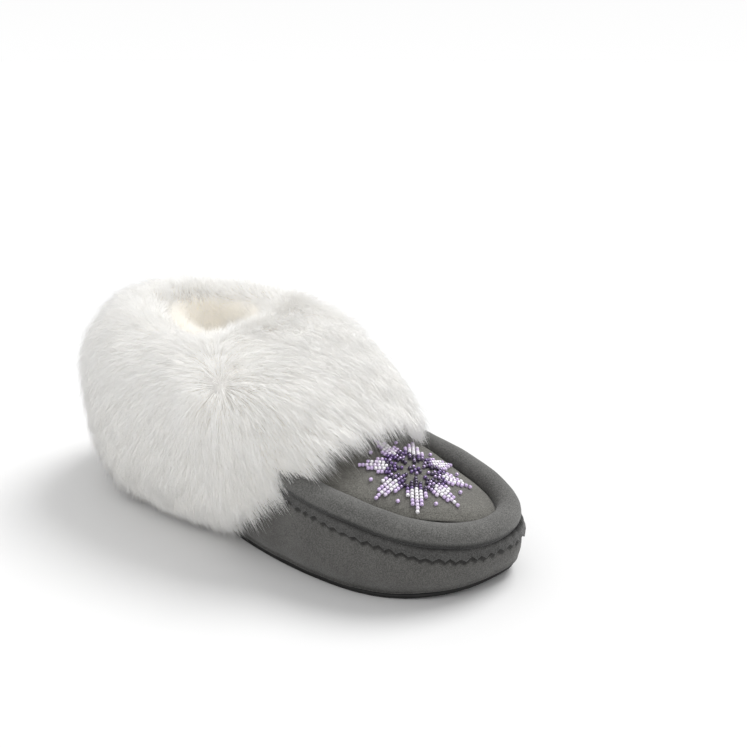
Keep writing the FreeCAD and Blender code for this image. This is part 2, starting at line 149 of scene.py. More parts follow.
# ======== small tools
def cubic(knots, values, closed=False):
    """A smooth curve through the values at the knots, as a function of the knot."""
    knots = np.asarray(knots, float)
    values = np.asarray(values, float)
    if values.ndim == 1:
        values = values[:, None]
    last = len(knots) - 1
    gaps = np.diff(knots)
    slopes = np.diff(values, axis=0) / gaps[:, None]
    left = np.zeros((last + 1, last + 1))
    right = np.zeros((last + 1, values.shape[1]))
    for k in range(1, last):
        left[k, k - 1:k + 2] = gaps[k - 1], 2 * (gaps[k - 1] + gaps[k]), gaps[k]
        right[k] = 6 * (slopes[k] - slopes[k - 1])
    left[0, 0] = left[last, last] = 1
    if closed:
        left[0, last] = -1
        left[last] = 0
        left[last, [0, 1, last - 1]] = 2 * (gaps[0] + gaps[-1]), gaps[0], gaps[-1]
        right[last] = 6 * (slopes[0] - slopes[-1])
    bend = np.linalg.solve(left, right)

    def value(at_knot):
        at_knot = np.atleast_1d(np.asarray(at_knot, float))
        k = np.clip(np.searchsorted(knots, at_knot, side="right") - 1, 0, last - 1)
        gap = gaps[k][:, None]
        after = (at_knot - knots[k])[:, None]
        before = gap - after
        return ((bend[k] * before ** 3 + bend[k + 1] * after ** 3) / (6 * gap)
                + (values[k] / gap - bend[k] * gap / 6) * before
                + (values[k + 1] / gap - bend[k + 1] * gap / 6) * after)
    return value


def run_along(points):
    """Distance along a line of points, from its first one."""
    steps = np.linalg.norm(np.diff(points, axis=0), axis=1)
    return np.concatenate([[0], np.cumsum(steps)])


def chord_knots(points):
    knots = run_along(points)
    return knots / knots[-1]


def spread_along(path, count):
    """A row of points along the smooth curve through a path."""
    path = np.array(path, float)
    return cubic(chord_knots(path), path)(np.linspace(0, 1, count))


def unit(vectors):
    return vectors / np.maximum(np.linalg.norm(vectors, axis=-1, keepdims=True), 1e-9)


def smoothstep(low, high, value):
    share = np.clip((value - low) / (high - low), 0, 1)
    return share * share * (3 - 2 * share)


def lumps(points, size, seed):
    """Soft random unevenness over points, about -1 to 1, with bumps of a size."""
    rng = np.random.default_rng(seed)
    total = np.zeros(len(points))
    for _ in range(14):
        wave = unit(rng.normal(size=3)) * (2 * math.pi / (size * rng.uniform(0.7, 1.6)))
        total += np.sin(points @ wave + rng.uniform(0, 2 * math.pi))
    return total / 5


def curve_of(table):
    """The smooth curve of a table whose rows begin with the knot."""
    return cubic([row[0] for row in table], [row[1:] for row in table])


seam_curve = curve_of(SEAM_HEIGHT)
ridge_curve = curve_of(PLUG_RIDGE)
wall_profile = curve_of(WALL_PROFILE)


def seam_z(station):
    return seam_curve(station)[:, 0]


def plug_z(x, station):
    return ridge_curve(station)[:, 0] - PLUG_CROWN * (x / PLUG_HALF_WIDTH) ** 2


def spring_z(station):
    return SPRING_LIFT * (np.clip(SPRING_START - station, 0, None) / SPRING_START) ** 2


LOOP_KNOTS = chord_knots(np.array(BULGE + BULGE[:1], float))
bulge_loop, seam_loop, topline_loop = [
    cubic(LOOP_KNOTS, np.array(outline + outline[:1], float), closed=True)
    for outline in (BULGE, SEAM, TOPLINE)]


def wall_point(turn, z, margin):
    """Points on the foot's wall: turn runs round the foot from the heel."""
    turn = np.mod(turn, 1.0)
    inset, seam_share, top_share = wall_profile(np.clip(z, 4, 98)).T[:, :, None]
    base = bulge_loop(turn)
    seam = seam_loop(turn)
    plan = base + (seam - base) * seam_share + (topline_loop(turn) - seam) * top_share
    ahead = unit(bulge_loop(np.mod(turn + 0.002, 1)) - bulge_loop(np.mod(turn - 0.002, 1)))
    outward = np.stack([ahead[:, 1], -ahead[:, 0]], 1)
    plan = plan + outward * (np.reshape(margin, (-1, 1)) - inset)
    return np.column_stack([plan, z])


def to_world(points):
    """(x, station, z) in millimetres to metres in the object's frame."""
    placed = np.array(points, float)
    placed[:, 1] += TOE_Y
    return placed * MM


# -------- making pieces
def linked(name, data):
    """A new object in the scene."""
    thing = bpy.data.objects.new(name, data)
    bpy.context.scene.collection.objects.link(thing)
    return thing


def smooth_shaded(mesh):
    mesh.polygons.foreach_set("use_smooth", np.full(len(mesh.polygons), True))


def new_mesh(name, points, faces, materials, face_slots=None):
    mesh = bpy.data.meshes.new(name)
    mesh.from_pydata(to_world(points).tolist(), [], [tuple(f) for f in faces])
    for material in materials:
        mesh.materials.append(material)
    if face_slots is not None:
        mesh.polygons.foreach_set("material_index", np.asarray(face_slots, np.int32))
    smooth_shaded(mesh)
    mesh.update()
    return linked(name, mesh)


def adopt(piece, slot, *nodes):
    """The piece rides on the one body and stands for nodes, which are hidden; slot is not used."""
    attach(piece, "root")
    if nodes:
        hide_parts(*nodes)
    return piece


def painted_shade(piece, values):
    """Painted shade on the suede, 0 to 1 per point: darker in seams and creases, under the lip's
    edge, near the sole and on the roll's underside.
    """
    attribute = piece.data.attributes.new("painted_shade", "FLOAT", "POINT")
    attribute.data.foreach_set("value", np.asarray(values, np.float32))
    return piece


def apply_modifiers(piece):
    depsgraph = bpy.context.evaluated_depsgraph_get()
    mesh = bpy.data.meshes.new_from_object(piece.evaluated_get(depsgraph),
                                           preserve_all_data_layers=True, depsgraph=depsgraph)
    piece.modifiers.clear()
    piece.data = mesh


def grid_faces(rows, columns, wrap_rows=False, wrap_columns=False, flip=False):
    """Quads of a grid whose points are stored row by row."""
    r = np.arange(rows if wrap_rows else rows - 1)
    c = np.arange(columns if wrap_columns else columns - 1)
    rr, cc = np.meshgrid(r, c, indexing="ij")
    r2, c2 = (rr + 1) % rows, (cc + 1) % columns
    quads = np.stack([rr * columns + cc, rr * columns + c2, r2 * columns + c2,
                      r2 * columns + cc], -1).reshape(-1, 4)
    return quads[:, ::-1] if flip else quads


def band_faces(rows, columns):
    """Faces of a closed band whose rows run along it, with both ends capped."""
    faces = [tuple(f) for f in grid_faces(rows, columns, wrap_rows=True)]
    faces.append(tuple(k * columns for k in range(rows))[::-1])
    faces.append(tuple(k * columns + columns - 1 for k in range(rows)))
    return faces


def tube_faces(rings, sides, first=0):
    """Faces of a tube whose rings follow each other, with both ends capped."""
    faces = [tuple(first + f) for f in grid_faces(rings, sides, wrap_columns=True)]
    faces.append(tuple(range(first, first + sides)))
    faces.append(tuple(reversed(range(first + (rings - 1) * sides, first + rings * sides))))
    return faces


def facing_out(piece, centre=SHOE_MIDDLE):
    """Turn a piece's faces so that they look away from a centre (x, station, z)."""
    mesh = piece.data
    count = len(mesh.polygons)
    normal = np.zeros(count * 3)
    middle = np.zeros(count * 3)
    mesh.polygons.foreach_get("normal", normal)
    mesh.polygons.foreach_get("center", middle)
    away = middle.reshape(-1, 3) - to_world([centre])
    if (normal.reshape(-1, 3) * away).sum() < 0:
        mesh.flip_normals()
    return piece


def thickened(piece, depth, centre):
    """Give a sheet real thickness, on the side of the centre."""
    facing_out(piece, centre)
    solid = piece.modifiers.new("thickness", "SOLIDIFY")
    solid.thickness = depth * MM
    solid.offset = -1
    apply_modifiers(piece)
    return piece


# ======== materials
def shader(name, color, roughness, **values):
    material = bpy.data.materials.new(name)
    material.use_nodes = True
    bsdf = material.node_tree.nodes["Principled BSDF"]
    bsdf.inputs["Base Color"].default_value = (*color, 1)
    bsdf.inputs["Roughness"].default_value = roughness
    for socket, value in values.items():
        bsdf.inputs[socket.replace("_", " ")].default_value = value
    return material, material.node_tree, bsdf


def add_node(tree, kind, **settings):
    node = tree.nodes.new(kind)
    for key, value in settings.items():
        if key in node.inputs:
            node.inputs[key].default_value = value
        else:
            setattr(node, key, value)
    return node


def noise(tree, coordinates, scale, detail=4.0, rough=0.6):
    node = add_node(tree, "ShaderNodeTexNoise", Scale=scale, Detail=detail, Roughness=rough)
    tree.links.new(coordinates, node.inputs["Vector"])
    return node.outputs["Fac"]


def ramp(tree, fac, stops):
    node = tree.nodes.new("ShaderNodeValToRGB")
    elements = node.color_ramp.elements
    while len(elements) < len(stops):
        elements.new(0.5)
    for element, (position, color) in zip(elements, stops):
        element.position = position
        element.color = (*color, 1)
    tree.links.new(fac, node.inputs["Fac"])
    return node.outputs["Color"]


def bump(tree, bsdf, layers):
    """Chain of bumps: (height socket, strength, distance in metres)."""
    normal = None
    for height, strength, distance in layers:
        node = add_node(tree, "ShaderNodeBump", Strength=strength, Distance=distance)
        tree.links.new(height, node.inputs["Height"])
        if normal is not None:
            tree.links.new(normal, node.inputs["Normal"])
        normal = node.outputs["Normal"]
    tree.links.new(normal, bsdf.inputs["Normal"])


def tone_by(tree, bsdf, fac, stops):
    """Colour a surface by a pattern, through a ramp."""
    tree.links.new(ramp(tree, fac, stops), bsdf.inputs["Base Color"])


def object_coordinates(tree):
    return tree.nodes.new("ShaderNodeTexCoord").outputs["Object"]


def scaled(color, factor):
    return tuple(min(1.0, channel * factor) for channel in color)


def suede(name, color):
    """Napped leather: clear grain, faint brushed patches, and painted shade from a per-point
    attribute.
    """
    material, tree, bsdf = shader(name, color, 0.95, Sheen_Weight=0.25, Sheen_Roughness=0.45,
                                  Specular_IOR_Level=0.15)
    place = object_coordinates(tree)
    patches = noise(tree, place, 55, 3)
    nap = noise(tree, place, 420, 4, 0.7)
    grain = noise(tree, place, 1900, 2, 0.7)
    total = None
    for layer, share in ((patches, 0.16), (nap, 0.12), (grain, 0.72)):
        step = add_node(tree, "ShaderNodeMath", operation="MULTIPLY_ADD")
        tree.links.new(layer, step.inputs[0])
        step.inputs[1].default_value = share
        step.inputs[2].default_value = 0.0
        if total is not None:
            tree.links.new(total, step.inputs[2])
        total = step.outputs[0]
    tone = ramp(tree, total, [(0.38, scaled(color, 0.62)), (0.50, color),
                              (0.62, scaled(color, 1.45))])
    # painted shade: the per-point attribute multiplies the colour down towards 0.1 in creases and
    # under edges
    seam = add_node(tree, "ShaderNodeAttribute", attribute_name="painted_shade")
    shade = add_node(tree, "ShaderNodeMix", data_type="RGBA", blend_type="MULTIPLY")
    tree.links.new(seam.outputs["Fac"], shade.inputs[0])
    tree.links.new(tone, shade.inputs[6])
    shade.inputs[7].default_value = (0.10, 0.10, 0.10, 1)
    tree.links.new(shade.outputs[2], bsdf.inputs["Base Color"])
    bump(tree, bsdf, [(nap, 0.5, 0.0006), (grain, 0.7, 0.0004)])
    return material


def rubber(name):
    material, tree, bsdf = shader(name, (0.02, 0.02, 0.02), 0.55)
    place = object_coordinates(tree)
    dust = noise(tree, place, 120, 5)
    tone_by(tree, bsdf, dust, [(0.35, (0.006, 0.006, 0.006)), (0.8, (0.02, 0.0195, 0.0185))])
    bump(tree, bsdf, [(noise(tree, place, 2500, 2), 0.3, 0.0002)])
    return material


def foam(name, color):
    material, tree, bsdf = shader(name, color, 0.9)
    place = object_coordinates(tree)
    cells = add_node(tree, "ShaderNodeTexVoronoi", Scale=900.0)
    tree.links.new(place, cells.inputs["Vector"])
    tone_by(tree, bsdf, cells.outputs["Distance"], [(0.0, scaled(color, 0.7)), (0.5, color)])
    bump(tree, bsdf, [(cells.outputs["Distance"], 0.6, 0.0004)])
    return material


def board(name, color):
    material, tree, bsdf = shader(name, color, 0.8)
    place = object_coordinates(tree)
    fibres = noise(tree, place, 700, 6, 0.75)
    tone_by(tree, bsdf, fibres, [(0.3, scaled(color, 0.7)), (0.7, scaled(color, 1.2))])
    bump(tree, bsdf, [(fibres, 0.4, 0.0003)])
    return material


def fleece(name, color):
    """Combed pile: small curls of wool."""
    material, tree, bsdf = shader(name, color, 0.95, Sheen_Weight=0.3, Sheen_Roughness=0.5)
    place = object_coordinates(tree)
    curls = add_node(tree, "ShaderNodeTexVoronoi", Scale=420.0, feature="SMOOTH_F1")
    tree.links.new(place, curls.inputs["Vector"])
    strands = noise(tree, place, 1400, 4, 0.75)
    tone_by(tree, bsdf, curls.outputs["Distance"],
            [(0.0, scaled(color, 1.12)), (0.55, color), (0.9, scaled(color, 0.72))])
    bump(tree, bsdf, [(curls.outputs["Distance"], -0.8, 0.0012), (strands, 0.7, 0.0006)])
    return material


def thread(name, color):
    material, tree, bsdf = shader(name, color, 0.5)
    place = object_coordinates(tree)
    twist = add_node(tree, "ShaderNodeTexWave", Scale=900.0, Distortion=1.0,
                     bands_direction="DIAGONAL")
    tree.links.new(place, twist.inputs["Vector"])
    tone_by(tree, bsdf, twist.outputs["Fac"],
            [(0.2, scaled(color, 0.6)), (0.8, scaled(color, 1.4))])
    bump(tree, bsdf, [(twist.outputs["Fac"], 0.5, 0.0002)])
    return material


def undercoat(name, color):
    """The dense base of the fur, seen between the long hairs."""
    material, tree, bsdf = shader(name, color, 0.95)
    place = object_coordinates(tree)
    tufts = noise(tree, place, 260, 6, 0.7)
    tone_by(tree, bsdf, tufts, [(0.3, scaled(color, 0.82)), (0.65, color)])
    bump(tree, bsdf, [(tufts, 0.8, 0.002)])
    return material


def hair(name, color, glow):
    """One tone of fur hair.  The glow stands in for light that scatters between hairs."""
    material, _, _ = shader(name, color, 0.65, Specular_IOR_Level=0.25, Sheen_Weight=0.2,
                            Emission_Strength=glow, Emission_Color=(*color, 1))
    return material


def glass_bead(name, color, roughness=0.12, metallic=0.0):
    material, tree, bsdf = shader(name, color, roughness, Coat_Weight=0.6,
                                  Coat_Roughness=0.05, Metallic=metallic)
    place = object_coordinates(tree)
    cloud = noise(tree, place, 900, 2)
    tone_by(tree, bsdf, cloud, [(0.3, scaled(color, 0.8)), (0.7, scaled(color, 1.15))])
    return material


# One leather in four tones, partly the pieces' own tone and partly painted light: plug and roll
# lighter as lit from above, lip darker as shaded under the roll.
SUEDE_WALL = suede("suede_wall", (0.107, 0.105, 0.100))
SUEDE_LIP = suede("suede_lip", (0.080, 0.079, 0.077))
SUEDE_ROLL = suede("suede_roll", (0.126, 0.125, 0.120))
SUEDE_PLUG = suede("suede_plug", (0.150, 0.146, 0.132))
RUBBER = rubber("sole_rubber")
FOAM = foam("foam", (0.55, 0.54, 0.50))
BOARD = board("counter_board", (0.45, 0.38, 0.28))
FLEECE = fleece("fleece", (0.82, 0.77, 0.68))
PELT = board("pelt_skin", (0.70, 0.66, 0.58))
THREAD_MATERIAL = thread("seam_thread", (0.06, 0.06, 0.058))
UNDERCOAT = undercoat("fur_undercoat", (0.86, 0.84, 0.81))
HAIR_GLOW = 0.12
CREAM_GLOW = 0.20
HAIRS = [hair("hair_white", (0.96, 0.955, 0.94), HAIR_GLOW),
         hair("hair_pearl", (0.94, 0.93, 0.91), HAIR_GLOW),
         hair("hair_cool", (0.93, 0.93, 0.92), HAIR_GLOW),
         hair("hair_warm", (0.94, 0.92, 0.88), HAIR_GLOW)]
HAIR_SHARES = [0.5, 0.25, 0.15, 0.10]
CREAMS = [hair("hair_cream", (0.93, 0.89, 0.81), CREAM_GLOW),
          hair("hair_ivory", (0.94, 0.91, 0.85), CREAM_GLOW)]
LIGHT_BEADS = [glass_bead("bead_pearl", (0.90, 0.86, 0.93)),
               glass_bead("bead_lilac", (0.66, 0.52, 0.80)),
               glass_bead("bead_pale", (0.80, 0.70, 0.88))]
DARK_BEADS = [glass_bead("bead_violet", (0.15, 0.09, 0.25), 0.18, 0.3),
              glass_bead("bead_smoke", (0.36, 0.28, 0.46), 0.15, 0.6),
              glass_bead("bead_plum", (0.06, 0.04, 0.09), 0.2, 0.2)]

CAD_FINISH = {"outsole": RUBBER, "midsole_foam": FOAM, "insole_foam": FOAM, "roll_core": FOAM,
              "heel_tape": SUEDE_WALL, "heel_counter": BOARD, "topline_binding": SUEDE_WALL,
              "cuff_pelt": PELT, "tongue_pelt": PELT, "cuff_thread": THREAD_MATERIAL}


def finish_cad_nodes():
    for name, material in CAD_FINISH.items():
        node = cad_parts[name]
        node.data.materials.clear()
        node.data.materials.append(material)


# ======== suede upper
def level_line(turns, height, margin=0):
    """Points of the wall at one height."""
    return wall_point(turns, np.full(len(turns), height), margin)


def turns_ahead_of(station, count):
    """First and last turn, out of a count of them, that lie ahead of a station."""
    turns = np.linspace(0, 1, count)
    front = turns[level_line(turns, LIP_WALL_HEIGHT)[:, 1] < station]
    return front[0], front[-1]


def lip_line():
    """Where the lip runs round the toe: turns, places on the wall and its pinked edge."""
    turns = np.linspace(*turns_ahead_of(LIP_END, 4001), LIP_COLUMNS)
    spot = level_line(turns, LIP_WALL_HEIGHT)
    phase = run_along(spot) / TOOTH_PITCH + 0.12 * lumps(spot, 14, 13)
    tooth = np.abs(2 * (phase - np.floor(phase + 0.5))) ** 0.8
    depth = TOOTH_DEPTH * (1 + 0.25 * lumps(spot, 11, 14))
    bottom = seam_z(spot[:, 1]) - LIP_HEIGHT + tooth * depth + 0.2 * lumps(spot, 9, 11)
    return turns, spot, bottom


def wall_piece(name, start, end, columns, node):
    """A stretch of the suede wall, turned under at the sole."""
    turns = np.linspace(start, end, columns)
    margins, heights, painted_darkness = [], [], []
    station = level_line(turns, SOLE_WALL_HEIGHT)[:, 1]
    low = OUTSOLE_THICK - HEM_OVERLAP + spring_z(station)
    high = seam_z(station)
    lip_turns, _, lip_bottom = lip_line()
    edge = np.interp(turns, lip_turns, lip_bottom, left=999, right=999)
    for row in range(WALL_ROWS):
        share = max(0, row - TUCK_ROWS) / (WALL_ROWS - TUCK_ROWS - 1)
        z = low + (high - low) * share
        tuck = (TUCK_ROWS - row) * TUCK_STEP if row < TUCK_ROWS else 0
        soft = 0.35 * lumps(wall_point(turns, z, 0), 26, 3)
        pucker = 0.22 * np.sin(station * 0.9 + 60 * turns * math.pi)
        near_seam = smoothstep(0.55, 1.0, share) * smoothstep(-120, -60, -station)
        swell = HEM_SWELL * np.exp(-((z - low) / 2.0) ** 2)
        margins.append(soft + pucker * near_seam - 0.3 - tuck + swell)
        heights.append(z)
        # painted shadow under the lip's pinked edge and painted shade along the hem at the sole
        painted_lip_shadow = 0.75 * np.exp(-(np.clip(edge - z - 2.2, 0, None) / 1.1) ** 2)
        painted_sole_shade = 0.5 * np.exp(-((z - low) / 1.6) ** 2)
        painted_darkness.append(np.maximum(painted_lip_shadow, painted_sole_shade))
    outer = [wall_point(turns, z, margin) for z, margin in zip(heights, margins)]
    inner = [wall_point(turns, z, margin - WALL_SHEET) for z, margin in zip(heights, margins)]
    piece = new_mesh(name, np.concatenate(outer + inner[::-1]),
                     band_faces(2 * WALL_ROWS, columns), [SUEDE_WALL])
    painted_shade(piece, np.concatenate(painted_darkness + painted_darkness[::-1]))
    adopt(facing_out(piece), "suede_wall", node)


def make_walls():
    first, last = turns_ahead_of(SIDE_SEAM, 2001)
    gap = 0.001
    wall_piece("toe_wall_suede", first, last, TOE_WALL_COLUMNS, "toe_wall")
    wall_piece("quarter_outer_suede", 0.0, first - gap, QUARTER_COLUMNS, "quarter_outer")
    wall_piece("quarter_inner_suede", last + gap, 1.0, QUARTER_COLUMNS, "quarter_inner")


def make_roll():
    """The padded roll: a stuffed tube that dimples a little where it is sewn."""
    plan = spread_along(ROLL_PATH, ROLL_RINGS)
    centre = np.column_stack([plan, seam_z(plan[:, 1]) + ROLL_LIFT])
    ahead = unit(np.gradient(centre, axis=0))
    side = unit(np.cross(ahead, [0, 0, 1]))
    up = np.cross(side, ahead)
    rings, painted_darkness = [], []
    for angle in np.linspace(0, 2 * math.pi, ROLL_AROUND, endpoint=False):
        arm = side * math.cos(angle) + up * math.sin(angle)
        spot = centre + arm * ROLL_RADIUS
        radius = ROLL_RADIUS + 0.05 + 0.16 * lumps(spot, 22, 5) + 0.05 * lumps(spot, 7, 6)
        rings.append(centre + arm * radius[:, None])
        # painted shade: the lower half of the roll darker, as turned away from the light
        painted_darkness.append(smoothstep(-0.05, 0.45, -arm[:, 2]))
    points = np.stack(rings, 1).reshape(-1, 3)
    piece = new_mesh("padded_roll", points, tube_faces(ROLL_RINGS, ROLL_AROUND), [SUEDE_ROLL])
    facing_out(painted_shade(piece, np.stack(painted_darkness, 1).ravel()), (0, 90, 30))
    adopt(piece, "suede_roll", "roll_cover")


def make_lip():
    """Flat band under the roll, its lower edge pinked in soft teeth."""
    turns, spot, bottom = lip_line()
    top = seam_z(spot[:, 1]) + 0.8
    rows = []
    inner, outer = -0.2, LIP_THICK - 0.5
    # Share of the way up, distance from the wall, painted shade (dark in the crease under the roll
    # and on the hidden back).
    profile = [(1.0, inner - 2.0, 1), (1.0, outer - 2.8, 1), (0.9, outer - 2.0, 1),
               (0.8, outer - 1.0, 0.7), (0.68, outer - 0.3, 0.3), (0.55, outer, 0.1),
               (0.4, outer, 0), (0.2, outer + 0.2, 0), (0.06, outer + 0.6, 0),
               (0.0, outer + 0.4, 0), (0.0, inner + 0.6, 1), (0.1, inner + 0.1, 1),
               (0.6, inner, 1)]
    for share, margin, _ in profile:
        z = bottom + (top - bottom) * share
        ripple = 0.18 * lumps(spot + [0, 0, 40 * share], 12, 12) * (1 - share)
        rows.append(wall_point(turns, z, margin + ripple + 0.15))
    piece = new_mesh("pinked_lip_band", np.concatenate(rows),
                     band_faces(len(rows), LIP_COLUMNS), [SUEDE_LIP])
    # painted shade per row, from the last column of the profile
    painted_shade(piece, np.repeat([depth for _, _, depth in profile], LIP_COLUMNS))
    adopt(facing_out(piece), "suede_roll", "pinked_lip")


def moved_inwards(line, distance):
    """A line along the roll's path, moved towards the middle of the plug."""
    ahead = unit(np.gradient(line, axis=0))
    return line + np.stack([-ahead[:, 1], ahead[:, 0]], 1) * distance


def make_plug():
    """The crowned top panel, pulled down into the seam along the roll."""
    path = [(-33, PLUG_THROAT), (-38, 130)] + ROLL_PATH + [(38, 130), (33, PLUG_THROAT)]
    edge = moved_inwards(spread_along(path, PLUG_ACROSS), ROLL_RADIUS * PLUG_EDGE_REACH)
    spine = np.column_stack([np.full(PLUG_ACROSS, PLUG_SPINE_X),
                             np.clip(edge[:, 1], 46, PLUG_THROAT)])
    inward_share = np.linspace(0, 1, PLUG_DEEP) ** 1.4
    rows = []
    for share in inward_share:
        plan = edge + (spine - edge) * share
        reach = np.linalg.norm(plan - edge, axis=1)
        z = plug_z(plan[:, 0], plan[:, 1])
        dip = 1.6 * np.exp(-(reach / 2.6) ** 2)
        spot = np.column_stack([plan, z])
        rows.append(np.column_stack([plan, z - dip + 0.18 * lumps(spot, 24, 8)]))
    piece = new_mesh("plug_suede", np.concatenate(rows),
                     grid_faces(PLUG_DEEP, PLUG_ACROSS, flip=True), [SUEDE_PLUG])
    # painted shade in the crease where the plug meets the roll
    painted_shade(piece, np.repeat(0.5 - 0.5 * smoothstep(0.0, 0.05, inward_share), PLUG_ACROSS))
    thickened(piece, SUEDE, (4, 80, -200))
    adopt(piece, "suede_plug", "plug")


def make_plug_stitches():
    """Short thread stitches drawn down into the seam at the inner foot of the roll."""
    line = moved_inwards(spread_along(ROLL_PATH, 2400), ROLL_RADIUS * STITCH_REACH)
    run = run_along(line)
    points, faces = [], []
    sides, steps = 8, 7
    for start in np.arange(3, run[-1] - 6, STITCH_PITCH):
        reach = start + np.linspace(0, STITCH_LENGTH * 0.8, steps)
        spot = np.column_stack([np.interp(reach, run, line[:, k]) for k in range(2)])
        arch = np.sin(np.linspace(0, math.pi, steps))
        z = plug_z(spot[:, 0], spot[:, 1]) - STITCH_SINK + 0.4 * arch
        centre = np.column_stack([spot, z])
        forward = unit(np.gradient(centre, axis=0))
        across = unit(np.cross(forward, [0, 0, 1]))
        up = np.cross(across, forward)
        radius = THREAD / 2 * np.sqrt(0.15 + 0.85 * arch)
        first = len(points)
        for step in range(steps):
            for side in range(sides):
                angle = 2 * math.pi * side / sides
                arm = across[step] * math.cos(angle) + up[step] * math.sin(angle)
                points.append(centre[step] + arm * radius[step])
        faces += tube_faces(steps, sides, first)
    piece = new_mesh("plug_stitches", np.array(points), faces, [THREAD_MATERIAL])
    adopt(piece, "thread", "plug_thread")


def make_sole_rim():
    """Ribbed edge band moulded round the rubber sole."""
    turns = np.linspace(0, 1, RIB_COLUMNS, endpoint=False)
    lift = spring_z(level_line(turns, SOLE_WALL_HEIGHT, -5.0)[:, 1])
    ribs = RIB_DEPTH * np.cos(np.arange(RIB_COLUMNS) * math.pi)
    rows = []
    for height, margin in [(0.25, -4.8), (0.1, -4.3), (0.5, -3.8), (1.3, -3.7), (2.1, -3.8),
                           (2.4, -4.3), (2.3, -4.8)]:
        spread = ribs if 0.4 < height < 2.2 else 0
        plan = level_line(turns, SOLE_WALL_HEIGHT, margin + spread)
        rows.append(np.column_stack([plan[:, :2], height + lift]))
    faces = grid_faces(len(rows), RIB_COLUMNS, wrap_rows=True, wrap_columns=True)
    piece = new_mesh("sole_edge_ribs", np.concatenate(rows), faces, [RUBBER])
    adopt(piece, "rubber_sole")


# ======== fleece inside
def fluffed(name, node, seed, pressed=1.0, sunk=0.0):
    """A lining's design solid, swollen into soft uneven pile, pressed or sunk down."""
    piece = linked(name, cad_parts[node].data.copy())
    remesh = piece.modifiers.new("remesh", "REMESH")
    remesh.mode = "VOXEL"
    remesh.voxel_size = FLEECE_VOXEL * MM
    smooth = piece.modifiers.new("smooth", "SMOOTH")
    smooth.iterations = 3
    apply_modifiers(piece)
    mesh = piece.data
    count = len(mesh.vertices)
    place, normal = np.zeros(count * 3), np.zeros(count * 3)
    mesh.vertices.foreach_get("co", place)
    mesh.vertices.foreach_get("normal", normal)
    place, normal = place.reshape(-1, 3) / MM, normal.reshape(-1, 3)
    curls = 0.45 * lumps(place, 5, seed) + 0.3 * lumps(place, 2.6, seed + 1) - 0.35
    place = place + normal * curls[:, None]
    foot = place[:, 2].min()
    place[:, 2] = foot + (place[:, 2] - foot) * pressed - sunk
    mesh.vertices.foreach_set("co", (place * MM).ravel())
    mesh.materials.clear()
    mesh.materials.append(FLEECE)
    smooth_shaded(mesh)
    mesh.update()
    return adopt(piece, "fleece", node)


def make_linings():
    for seed, node in enumerate(("vamp_lining", "heel_lining", "plug_lining")):
        sunk = LINING_SINK if node == "plug_lining" else 0.0
        fluffed(node + "_pile", node, 200 + 10 * seed, sunk=sunk)
    fluffed("collar_fleece_pile", "collar_fleece", 240, pressed=COLLAR_PRESSED)
    fluffed("insole_fleece_pile", "insole_fleece", 260)


# ======== beadwork
def bead_shape():
    """Rounded ring profile of a seed bead: (along the hole, radius) pairs."""
    half, outer, hole = BEAD_LENGTH / 2, BEAD_RADIUS, BEAD_RADIUS * 0.38
    angles = np.linspace(-0.5 * math.pi, 0.5 * math.pi, 7)
    rim = [(half * math.sin(a), hole + (outer - hole) * math.cos(a) ** 0.6) for a in angles[1:-1]]
    return [(-half * 0.98, hole)] + rim + [(half * 0.98, hole)]


def bead_points(centre, along, up, profile):
    side = np.cross(along, up)
    rings = []
    for step in range(BEAD_SIDES):
        angle = 2 * math.pi * step / BEAD_SIDES
        arm = side * math.cos(angle) + up * math.sin(angle)
        rings += [centre + along * reach + arm * radius for reach, radius in profile]
    return rings


def bead_group(name, beads, materials, slot, node, rng):
    """beads: (across, along the foot, direction, material share) from the rosette."""
    profile = bead_shape()
    points, faces, slots = [], [], []
    cell = grid_faces(BEAD_SIDES, len(profile), wrap_rows=True, wrap_columns=True)
    for across, along_foot, direction, tone in beads:
        x = ROSETTE_X + across
        station = ROSETTE_STATION + along_foot * math.cos(PLUG_TILT)
        z, behind, beside = plug_z(np.array([x, x, x + 1]),
                                   np.array([station, station + 1, station]))
        slope, lean = behind - z, beside - z
        up = unit(np.array([-lean, -slope, 1.0]))
        turn = rng.normal(0, BEAD_WOBBLE)
        flat = np.array([direction[0] * math.cos(turn) - direction[1] * math.sin(turn),
                         direction[0] * math.sin(turn) + direction[1] * math.cos(turn), 0])
        along = unit(flat - up * (flat @ up))
        centre = np.array([x, station, z]) + up * (BEAD_RADIUS + 0.05)
        centre += np.append(rng.normal(0, BEAD_WOBBLE, 2), 0)
        first = len(points)
        points += bead_points(centre, along, up, profile)
        faces += [tuple(first + f) for f in cell]
        slots += [tone] * len(cell)
    piece = new_mesh(name, np.array(points), faces, materials, slots)
    adopt(piece, slot, node)


# Rows of one petal: sideways place, where the dark beads start, where the light
# beads start and where the row ends, as shares of the rosette's radius.
PETAL_ROWS = [(0.0, 0.24, 0.50, 1.0), (1.0, 0.36, 0.56, 0.86), (-1.0, 0.36, 0.56, 0.86),
              (2.0, 0.46, 0.58, 0.72), (-2.0, 0.46, 0.58, 0.72)]


